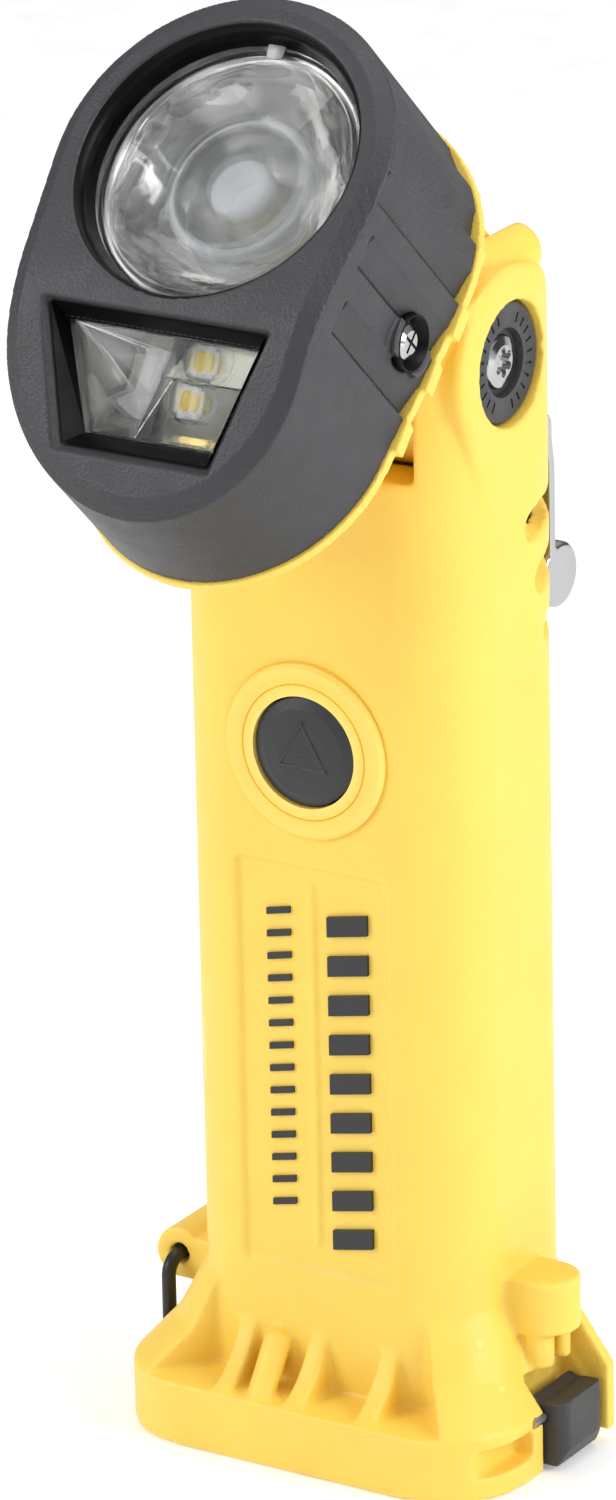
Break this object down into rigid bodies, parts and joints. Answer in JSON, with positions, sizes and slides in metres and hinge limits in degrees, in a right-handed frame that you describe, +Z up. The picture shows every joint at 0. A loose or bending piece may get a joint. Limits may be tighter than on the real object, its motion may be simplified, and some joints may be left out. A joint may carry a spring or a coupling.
{
  "type": "firefighter flashlight",
  "caption": "Right-angle firefighter flashlight: yellow grip, pivoting head with round spot and slanted flood windows, rubber switch, coat clip, hinged ring and latched battery door.",
  "frame": {"origin": "on the grip's axis, at the plane that the foot stands on", "axes": "+Z up the grip, -Y to the front with the switch, X along the head's pivot"},
  "size_m": [0.0725, 0.0951, 0.2224],
  "materials": {
    "yellow_nylon": "fine moulded grain",
    "yellow_door": "fine moulded grain",
    "black_nylon": "fine moulded grain",
    "black_ink": "satin",
    "black_rubber": "soft satin",
    "black_wire": "black coating",
    "polished_steel": "polished",
    "plain_steel": "brushed",
    "clear_plastic": "clear",
    "bright_mirror": "vacuum plated",
    "led_yellow": "phosphor",
    "circuit_board": "white mask",
    "aluminium": "turned",
    "brass": "plain",
    "cell_wrap": "shrink sleeve",
    "grey_plastic": "plain"
  },
  "bodies": {
    "handle": {"handle_housing": "yellow_nylon", "switch_ring": "yellow_nylon", "nameplate_bars": "black_ink", "nameplate_ticks": "black_ink", "clip_screws": "polished_steel", "detent_ball": "polished_steel", "clip_bracket": "plain_steel", "clip_pin": "plain_steel", "clip_spring": "plain_steel", "door_hinge_pin": "plain_steel", "latch_pin": "plain_steel", "switch_dome": "plain_steel", "contact_springs": "plain_steel", "detent_spring": "plain_steel", "switch_board": "circuit_board", "contact_board": "circuit_board", "pivot_bush_right": "brass", "pivot_bush_left": "brass", "charge_contacts": "brass", "cell_contacts": "brass", "battery_cells": "cell_wrap", "battery_carrier": "grey_plastic"},
    "head": {"head_housing": "yellow_nylon", "head_bezel": "black_nylon", "head_seal": "black_rubber", "bezel_screws": "polished_steel", "spot_lens": "clear_plastic", "spot_reflector": "bright_mirror", "spot_optic": "clear_plastic", "spot_led": "led_yellow", "spot_board": "circuit_board", "heat_sink": "aluminium", "flood_lens": "clear_plastic", "flood_reflector": "bright_mirror", "flood_leds": "led_yellow", "flood_board": "circuit_board", "pivot_disc_right": "black_nylon", "pivot_disc_left": "black_nylon", "pivot_screw_right": "polished_steel", "pivot_screw_left": "polished_steel"},
    "button": {"switch_button": "black_rubber"},
    "clip": {"spring_clip": "polished_steel"},
    "ring": {"d_ring": "black_wire"},
    "door": {"tail_door": "yellow_door", "door_seal": "black_rubber", "door_contact": "brass", "door_springs": "plain_steel"},
    "latch": {"latch_lever": "black_nylon"}
  },
  "joints": [
    {"name": "head_pivot", "type": "hinge", "parent": "handle", "child": "head", "pos_m": [0, 0, 0.1674], "axis": [1, 0, 0], "range_deg": [-46, 44]},
    {"name": "switch_press", "type": "slide", "parent": "handle", "child": "button", "axis": [0, 1, 0], "range_m": [0, 0.0009], "stiffness_N_per_m": 2000, "springref_m": -0.0006},
    {"name": "clip_swing", "type": "hinge", "parent": "handle", "child": "clip", "pos_m": [0, 0.0216, 0.15], "axis": [1, 0, 0], "range_deg": [0, 24], "stiffness_Nm_per_rad": 0.5, "springref_deg": -11.46},
    {"name": "ring_swing", "type": "hinge", "parent": "handle", "child": "ring", "pos_m": [-0.0322, 0, 0.02], "axis": [0, 1, 0], "range_deg": [0, 150]},
    {"name": "door_swing", "type": "hinge", "parent": "handle", "child": "door", "pos_m": [-0.0274, 0, 0.0018], "axis": [0, 1, 0], "range_deg": [0, 90]},
    {"name": "latch_swing", "type": "hinge", "parent": "handle", "child": "latch", "pos_m": [0.0323, -0.0022, 0.0084], "axis": [0, -1, 0], "range_deg": [0, 38], "stiffness_Nm_per_rad": 0.02, "springref_deg": -17.19}
  ]
}
